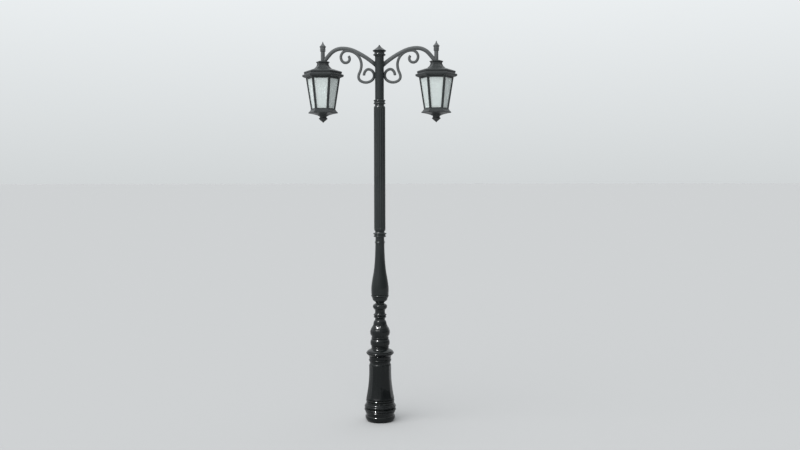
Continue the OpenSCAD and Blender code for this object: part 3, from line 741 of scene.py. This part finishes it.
DOOR_GAP = 1.5                  # clearance round the door, except at its lock edge
LOCK_GAP = 2.5
DOOR_T = 10.0
CUT_IN, CUT_OUT = 60, 180       # a cutter's reach from the post's axis
HINGE_X = -44.0
HINGE_LOW = (137.6, 300.0)      # distance out and height of each hinge, in the door's frame
HINGE_HIGH = (117.1, 500.0)
KNUCKLE_R, KNUCKLE_H = 6.0, 12.0
KNUCKLE_GAP = 0.5
KNUCKLE_EASE = 0.6              # rounding of a knuckle's rims
PIN_HOLE_R = 3.05
LOCK = (27.0, 400.0)            # across the door and up
LOCK_HOLE_R = 8.1


def on_hinge(z):
    """Stands on the door's leaning hinge line at height z, with +Z along the line."""
    share = (z - HINGE_LOW[1]) / (HINGE_HIGH[1] - HINGE_LOW[1])
    lean = atan((HINGE_LOW[0] - HINGE_HIGH[0]) / (HINGE_HIGH[1] - HINGE_LOW[1]))
    out = HINGE_LOW[0] + share * (HINGE_HIGH[0] - HINGE_LOW[0])
    return at_door() @ Matrix.Translation((HINGE_X, out, z)) @ Matrix.Rotation(lean, 4, "X")


def knuckle(place, lug, radius, pin, height):
    """Points and faces of a hinge barrel with a bore for its pin and a lug beside it."""
    def circle(r, z):
        return [polar(r, a, z) for a in even_angles(40)]
    soft = radius - KNUCKLE_EASE
    rings = [circle(soft, 0), circle(radius, KNUCKLE_EASE), circle(radius, height - KNUCKLE_EASE),
             circle(soft, height), circle(pin, height), circle(pin, 0)]
    parts = [loft(rings, True), loft([[(*p, z) for p in lug] for z in (0, height)], False)]
    return [([place @ Vector(p) for p in points], faces) for points, faces in parts]


def joined(parts):
    """Several (points, faces) as one."""
    points, faces = [], []
    for some, loops in parts:
        faces += [tuple(i + len(points) for i in loop) for loop in loops]
        points += some
    return points, faces


def add_parts(piece, parts):
    """Adds closed solids to an object's mesh."""
    extra = make_piece("extra", *joined(parts))
    work = bmesh.new()
    work.from_mesh(piece.data)
    work.from_mesh(extra.data)
    work.to_mesh(piece.data)
    work.free()
    bpy.data.objects.remove(extra)
    piece.data.shade_smooth()
    piece.data.set_sharp_from_angle(angle=radians(SHARP))


def build_door():
    door = bell_shell("cast_base_door", bell_hollow(DOOR_T))
    low_corner = (DOOR_GAP - DOOR_HALF, CUT_IN, DOOR_Z[0] + DOOR_GAP)
    high_corner = (DOOR_HALF - LOCK_GAP, CUT_OUT, DOOR_Z[1] - DOOR_GAP)
    cut_shape(door, block(low_corner, high_corner, at_door()), "INTERSECT")
    across, up = LOCK
    turn = at_door() @ Matrix.Translation((across, 0, up)) @ Matrix.Rotation(radians(-90), 4, "X")
    rings = [[polar(LOCK_HOLE_R, a, z) for a in even_angles(48)] for z in (CUT_IN, CUT_OUT)]
    cut_shape(door, make_piece("drill", *loft(rings, False), place=turn), "DIFFERENCE")
    lug = [(0, 5.5), (0, -5), (5.8, -5), (5.8, -11), (16, -11), (16, -1)]
    for z in (HINGE_LOW[1], HINGE_HIGH[1]):
        place = on_hinge(z) @ Matrix.Translation((0, 0, KNUCKLE_H + KNUCKLE_GAP))
        add_parts(door, knuckle(place, lug, KNUCKLE_R, PIN_HOLE_R, KNUCKLE_H))
    dress(door, "base_door")


# ---- Arms and scrolls -----------------------------------------------------

ARM_REACH = (BOXES["stem_right"][0].x + BOXES["stem_right"][1].x) / 2
STEM_R, STEM_BORE, STEM_H = 21.5, 9, 93
STEM_Z = low("lantern_head_right") + 78
ARM_Z = low("lantern_head_right") + 38
ARM_START = (NECK_R - 12, ARM_Z - 10, 42)                   # x, z and heading in degrees
ARM_BENDS = ((900, -17), (317, -25), (170, -50), (0, 92))   # radius and turn in degrees
SCROLL_START = (322.6, ARM_Z + 85, -133)
SCROLL_BENDS = ((39, 102), (45, 81), (66, 129), (148, 93), (182, 25), (105, -21), (51, -64), (101, -69),
                (65, -130), (37, -54), (67, -50))
ARM_R, SCROLL_R = 21.0, 14.5
SCROLL_TIP = 4.5
WELD_T = 3.6


def centreline(x, z, heading, bends, step=3.0):
    """Points [x, z, heading] along bends of (radius, turn). A radius of 0 is a straight of that length."""
    path = [(x, z, heading)]
    for radius, turn in bends:
        steps = 8 if radius == 0 else ceil(abs(turn) / step)
        old = radians(heading)
        for i in range(1, steps + 1):
            share = i / steps
            if radius == 0:
                here = (x + turn * share * cos(old), z + turn * share * sin(old), heading)
            else:
                r = radius if turn > 0 else -radius
                now = radians(heading + turn * share)
                here = (x - r * sin(old) + r * sin(now), z + r * cos(old) - r * cos(now),
                        heading + turn * share)
            path.append(here)
        x, z, heading = here
    return path


def bar_rings(radius, path, around, tips):
    """Rings of a round bar along a centreline, with softly rounded tips of that length."""
    def ring(x, z, heading, r):
        h = radians(heading)
        circle = [radians(a) for a in even_angles(around)]
        return [(x - r * cos(t) * sin(h), r * sin(t), z + r * cos(t) * cos(h)) for t in circle]

    def tip(x, z, heading, length, turns):
        h = radians(heading)
        ends = [(length * sin(radians(t)), radius * cos(radians(t))) for t in turns]
        return [ring(x + on * cos(h), z + on * sin(h), heading, r) for on, r in ends]

    turns = (20, 40, 60, 80) if tips else ()
    bar = [ring(*point, radius) for point in path]
    return tip(*path[0], -tips, turns[::-1]) + bar + tip(*path[-1], tips, turns)


def side_matrix(side):
    return Matrix.Scale(side, 4, (1, 0, 0))


def weld_bead(name, side, start, radius, tube_radius, node):
    """A rippled weld, on the node's body, where a round bar with this start meets an upright tube."""
    x, z, heading = start
    h = radians(heading)
    along = Vector((cos(h), 0, sin(h)))
    up = Vector((-sin(h), 0, cos(h)))
    count, around = 96, 10
    loop = []
    for i in range(count):
        turn = 2 * pi * i / count
        rim = Vector((x, 0, z)) + up * radius * cos(turn) + Vector((0, radius * sin(turn), 0))
        b = rim.x * along.x
        c = rim.x ** 2 + rim.y ** 2 - tube_radius ** 2
        root = sqrt(max(0, b * b - along.x ** 2 * c))
        options = [(-b + sign * root) / along.x ** 2 for sign in (-1, 1)]
        loop.append(rim + along * min(options, key=abs))
    rings = []
    for i, here in enumerate(loop):
        ahead = (loop[(i + 1) % count] - loop[i - 1]).normalized()
        out = Vector((here.x, here.y, 0)).normalized()
        across = ahead.cross(out).normalized()
        size = WELD_T * (1 + 0.10 * cos(pi * i))
        turns = [radians(a) for a in even_angles(around)]
        rings.append([tuple(here + out * size * cos(t) + across * size * sin(t)) for t in turns])
    piece = make_piece(name, *loft(rings, True), place=side_matrix(side))
    coat(piece, "steel_paint")
    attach(piece, BODY_OF[node])


def build_arms():
    for name, side in SIDES.items():
        path = centreline(*ARM_START, ARM_BENDS)
        rings = bar_rings(ARM_R, path, 40, 0)
        arm = make_piece("arm_tube_" + name, *loft(rings, False), place=side_matrix(side))
        past_stem = ((ARM_REACH, -60, ARM_Z - 80), (ARM_REACH + 90, 60, ARM_Z + 160))
        under_stem = ((ARM_REACH - 100, -60, STEM_Z - 60), (ARM_REACH + 90, 60, STEM_Z + 0.2))
        for corners in (past_stem, under_stem):
            cut_shape(arm, block(*corners, side_matrix(side)), "DIFFERENCE")
        dress(arm, "arm_" + name)
        weld_bead("arm_weld_" + name, side, ARM_START, ARM_R, NECK_R, "arm_sleeve")
        path = centreline(*SCROLL_START, SCROLL_BENDS, 6.0)
        rings = bar_rings(SCROLL_R, path, 28, SCROLL_TIP)
        scroll = make_piece("scroll_bar_" + name, *loft(rings, False), place=side_matrix(side))
        dress(scroll, "scroll_" + name)


# ---- Lanterns -------------------------------------------------------------

FOOT_H = 12                     # of the frame's foot, below the glazed body
GLASS_Z = low("lantern_frame_right") + FOOT_H
GLASS_H = 329.0
EAVE_Z = GLASS_Z + GLASS_H
ROOF_Z = high("lantern_frame_right")
HEAD_Z = low("lantern_head_right")
GLASS_TOP_R, GLASS_LOW_R = 180.0, 128.0
EAVE_R = (BOXES["lantern_frame_right"][1].x - BOXES["lantern_frame_right"][0].x) / 2
FRAME_T, PANE_T = 7.0, 4.0
BEVEL_W, BEVEL_T = 20, 1.6
PANEL_DEEP = 2.4
BAR_R = 6.2
PANE_HINGE_YS = (60, 250)
PANE_KNUCKLE = (4.5, 2.25, 9)   # radius, radius of its pin hole and height
PANE_KNUCKLE_RISE = 9.4
TILT = atan((GLASS_TOP_R - GLASS_LOW_R) * cos(radians(30)) / GLASS_H)
SLANT = GLASS_H / cos(TILT)
SLOPE = atan((GLASS_TOP_R - GLASS_LOW_R) / 2 / SLANT)


def at_lantern(side):
    return side_matrix(side) @ Matrix.Translation((ARM_REACH, 0, 0))


def on_facet(k):
    """Lies on facet k of the glazed body: X along it, Y up it and Z outwards. Facet 0 faces +Y."""
    foot = Matrix.Translation((0, GLASS_LOW_R * cos(radians(30)), GLASS_Z))
    lean = Matrix.Rotation(pi, 4, "Z") @ Matrix.Rotation(TILT, 4, "X")
    return Matrix.Rotation(radians(60 * k), 4, "Z") @ foot @ Matrix.Rotation(radians(-90), 4, "X") @ lean


def trapezoid(bottom, top, left, right, out=0.0, inset=0.0):
    """Corners of a facet's outline between two heights up the slant, its sides set in by left and right."""
    def half(y):
        return GLASS_LOW_R / 2 + y * tan(SLOPE)
    bottom, top, left, right = bottom + inset, top - inset, left + inset, right + inset
    return [(left - half(bottom), bottom, out), (half(bottom) - right, bottom, out),
            (half(top) - right, top, out), (left - half(top), top, out)]


def hex_ring(r, z, corner=3.0, columns=10, relief=None):
    """Points round a hexagon with corner radius r and softly rounded corners."""
    corner = min(corner, r * 0.4)
    hub = r - corner / cos(radians(30))

    def on_corner(facing, a):
        return (hub * cos(facing) + corner * cos(facing + radians(a)),
                hub * sin(facing) + corner * sin(facing + radians(a)))

    points = []
    for k in range(6):
        facing = radians(60 * k)
        points += [on_corner(facing, a) for a in (-30, -15, 0, 15, 30)]
        x, y = points[-1]
        end_x, end_y = on_corner(radians(60 * (k + 1)), -30)
        normal = facing + radians(30)
        for j in range(1, columns):
            u = j / columns
            push = relief(2 * u - 1, z) if relief else 0
            points.append((x + (end_x - x) * u + push * cos(normal),
                           y + (end_y - y) * u + push * sin(normal)))
    return [(x, y, z) for x, y in points]


def hexed(name, outline, node, side, inner=(), relief=None):
    """A six-sided casting from its outline, solid or with an inner outline."""
    rings = [hex_ring(r, z, relief=relief) for r, z in outline]
    rings += [hex_ring(r, z) for r, z in reversed(inner)]
    make_piece(name, *loft(rings, bool(inner)), node=node, place=at_lantern(side))


def head_relief(u, z):
    """A sunk panel on each face of the vent collar. U runs from -1 to 1 across the face."""
    bottom, top, half = 0.14, 0.90, 0.74
    rise = (z - HEAD_Z) / 44
    if not bottom < rise < top or abs(u) > half:
        return 0
    edge = min((rise - bottom) / 0.06, (top - rise) / 0.06, (half - abs(u)) / 0.10, 1)
    return -PANEL_DEEP * edge


def collar_outline():
    """Of the vent collar, with heights above HEAD_Z."""
    neck = dense([(91, 0), (90, 3)] + curve((88, 5), (67, 18), (62, 44), 16), 3)
    return (neck + curve((61.5, 47), (62, 54), (71, 60), 8) + curve((71, 60), (73, 64), (70, 68), 6) +
            curve((68, 69), (50, 76), (26, 78), 10))


def roof_outline():
    """With heights above EAVE_Z."""
    return ([(196, 44)] + curve((199, 45), (202, 49), (202, 54), 6) +
            curve((202, 56), (202, 61), (197, 64), 6) + curve((190, 66), (130, 86), (92, 96), 12) +
            [(91, HEAD_Z - EAVE_Z)])


def tray_outline():
    """With heights from the foot of the frame."""
    return ([(60, -50), (66, -50)] + curve((72, -48), (96, -40), (130, -34), 8) +
            curve((140, -32), (157, -31), (157, -26), 8) + curve((157, -22), (155, -20), (151, -17), 6) +
            curve((146, -12), (140, -5), (136, 0), 8))


def pendant_outline():
    return (curve((2, 0), (6, 8), (20, 18), 8) + curve((20, 18), (30, 25), (37, 33), 6) +
            bead(45.7, 43, 8) + curve((37, 53), (34, 63), (44, 71), 8) +
            curve((50, 72), (57, 73), (57, 79), 6))


def finial_outline():
    return ([(STEM_R, 0)] + bead(29, 8, 4.5) + [(26, 15)] + bead(30, 22, 5) + [(27, 29)] +
            curve((28, 42), (30, 46), (32, 49)) + bead(34, 54, 4) + curve((27, 63), (15, 76), (9, 86)) +
            curve((7, 92), (5, 102), (1.5, 107)))


def build_lantern(name, side):
    hexed("vent_collar_" + name, lifted(collar_outline(), HEAD_Z), "lantern_head_" + name, side,
          relief=head_relief)
    under_roof = [(186, EAVE_Z + 44), (186, EAVE_Z + 57), (70, HEAD_Z - 7), (70, HEAD_Z)]
    hexed("roof_" + name, lifted(roof_outline(), EAVE_Z), "lantern_roof_" + name, side, under_roof)
    build_frame(name, side)
    in_tray = [(54, -50), (60, -40), (112, -28), (112, 0)]
    tray_top = GLASS_Z - FOOT_H
    hexed("tray_" + name, lifted(tray_outline(), tray_top), "lantern_tray_" + name, side,
          lifted(in_tray, tray_top))
    place = at_lantern(side)
    turned("pendant_drop_" + name, lifted(pendant_outline(), low("pendant_" + name)), 0,
           "pendant_" + name, 96, place=place)
    stem = [(STEM_R, STEM_Z), (STEM_R, STEM_Z + STEM_H)]
    turned("stem_tube_" + name, stem, STEM_BORE, "stem_" + name, 64, place=place)
    turned("finial_crown_" + name, lifted(finial_outline(), STEM_Z + STEM_H), 0,
           "finial_" + name, 96, place=place)


def window_frame(k, outer, hole, lip):
    """A facet's plate with a window in it and a raised glazing lip round the window."""
    loops = [trapezoid(*outer, out=-FRAME_T), trapezoid(*outer), trapezoid(*hole, inset=-5),
             trapezoid(*hole, out=lip, inset=-4), trapezoid(*hole, out=lip, inset=-1.5),
             trapezoid(*hole, out=-1), trapezoid(*hole, out=-FRAME_T)]
    points, faces = loft(loops, True)
    return [on_facet(k) @ Vector(p) for p in points], faces


def corner_bar(k):
    """A round bar that covers the joint at corner k of the glazed body."""
    facing = radians(60 * k + 60)
    away = Vector((cos(facing), sin(facing), 0))
    circle = [Vector(polar(BAR_R, a, 0)) for a in even_angles(24)]
    ends = ((GLASS_LOW_R, GLASS_Z - 2), (GLASS_TOP_R, EAVE_Z))
    rings = [[tuple(away * (r - 5) + Vector((0, 0, z)) + point) for point in circle] for r, z in ends]
    return loft(rings, False)


def hex_tube(outline, inner):
    rings = [hex_ring(r, z) for r, z in outline] + [hex_ring(r, z) for r, z in reversed(inner)]
    return loft(rings, True)


def eave_outline():
    """Of the cornice at the top of the frame, with heights above EAVE_Z."""
    return ([(GLASS_TOP_R - 2, -6), (GLASS_TOP_R + 2, -4)] + curve((190, 0), (204, 3), (211, 9), 8) +
            curve((215, 10), (EAVE_R, 12), (EAVE_R, 21), 6) +
            curve((EAVE_R, 28), (EAVE_R - 2, 33), (206, 34), 6) +
            curve((202, 34), (197, 37), (197, ROOF_Z - EAVE_Z), 6))


def build_frame(name, side):
    open_side = (10, SLANT - 10, 12, 7)
    parts = [window_frame(0, (0, SLANT, 0, 0), open_side, 0.0), corner_bar(0)]
    for k in range(1, 6):
        parts += [window_frame(k, (0, SLANT, 0, 0), (6, SLANT - 16, 16, 16), 1.6), corner_bar(k)]
    in_eave = [(GLASS_TOP_R - 9, -6), (GLASS_TOP_R - 8, 0), (186, 8), (186, ROOF_Z - EAVE_Z)]
    parts.append(hex_tube(lifted(eave_outline(), EAVE_Z), lifted(in_eave, EAVE_Z)))
    r = GLASS_LOW_R
    foot = [(r + 8, -FOOT_H)] + curve((r + 6, -8), (r + 3, -2), (r + 0.5, 2), 6)
    in_foot = [(r - 14, -FOOT_H), (r - 14, 2)]
    parts.append(hex_tube(lifted(foot, GLASS_Z), lifted(in_foot, GLASS_Z)))
    lug = [(0, 4.5), (-4, 0), (-4, -7.5), (2, -7.5), (4.5, -2)]
    for y in PANE_HINGE_YS:
        parts += knuckle(pane_hinge(y), lug, *PANE_KNUCKLE)
    make_piece("glazed_frame_" + name, *joined(parts), node="lantern_frame_" + name, place=at_lantern(side))


def pane_hinge(y):
    """Stands on the pane door's hinge line with +Z up the line and +Y outwards."""
    edge = GLASS_LOW_R / 2 + y * tan(SLOPE)
    return (on_facet(0) @ Matrix.Translation((edge - 4, y, 5.5)) @ Matrix.Rotation(-SLOPE, 4, "Z") @
            Matrix.Rotation(radians(-90), 4, "X") @ Matrix.Rotation(pi, 4, "Z"))


def glass_plate(k, outline):
    """A pane with a polished bevel round its edge."""
    out = -FRAME_T - 0.1
    loops = [trapezoid(*outline, out=out - PANE_T), trapezoid(*outline, out=out - BEVEL_T),
             trapezoid(*outline, out=out, inset=BEVEL_W)]
    points, faces = loft(loops, False)
    return [on_facet(k) @ Vector(p) for p in points], faces


def build_glass(name, side):
    place = at_lantern(side)
    panes = [glass_plate(k, (3, SLANT - 10, 8.5, 8.5)) for k in range(1, 6)]
    make_piece("glass_" + name, *joined(panes), node="panes_" + name, place=place, sharp=1)
    pane = glass_plate(0, (16, SLANT - 17, 17.5, 12.5))
    make_piece("door_glass_" + name, *pane, node="door_pane_" + name, place=place, sharp=1)
    parts = [window_frame(0, (12, SLANT - 13, 13.5, 8.5), (22, SLANT - 23, 24, 19), 0.7)]
    lug = [(0, 4.5), (13, -3), (13, -7.5), (5.6, -7.5), (4.4, -2)]
    for y in PANE_HINGE_YS:
        above = pane_hinge(y) @ Matrix.Translation((0, 0, PANE_KNUCKLE_RISE))
        parts += knuckle(above, lug, *PANE_KNUCKLE)
    make_piece("door_frame_" + name, *joined(parts), node="pane_door_" + name, place=place)


add_camera()
add_sky()
key = add_sun("key", *KEY)
key.visible_glossy = False      # the wide sun only lights, the small one only shows in reflections
glints = add_sun("sun", *GLINTS)
glints.visible_diffuse = False
add_floor()
scene.view_settings.view_transform = "Standard"

build_castings()
build_bell()
build_door()
build_arms()
for name, side in SIDES.items():
    build_lantern(name, side)
    build_glass(name, side)

for name, node in frame["nodes"].items():
    if not node.hide_render:
        coat(node, SLOT_OF[name])
        node.data.shade_smooth()
        node.data.set_sharp_from_angle(angle=radians(CAD_SHARP))

castings = [piece for piece in scene.objects if piece.name.startswith("cast_")]
light_only(glints, castings)
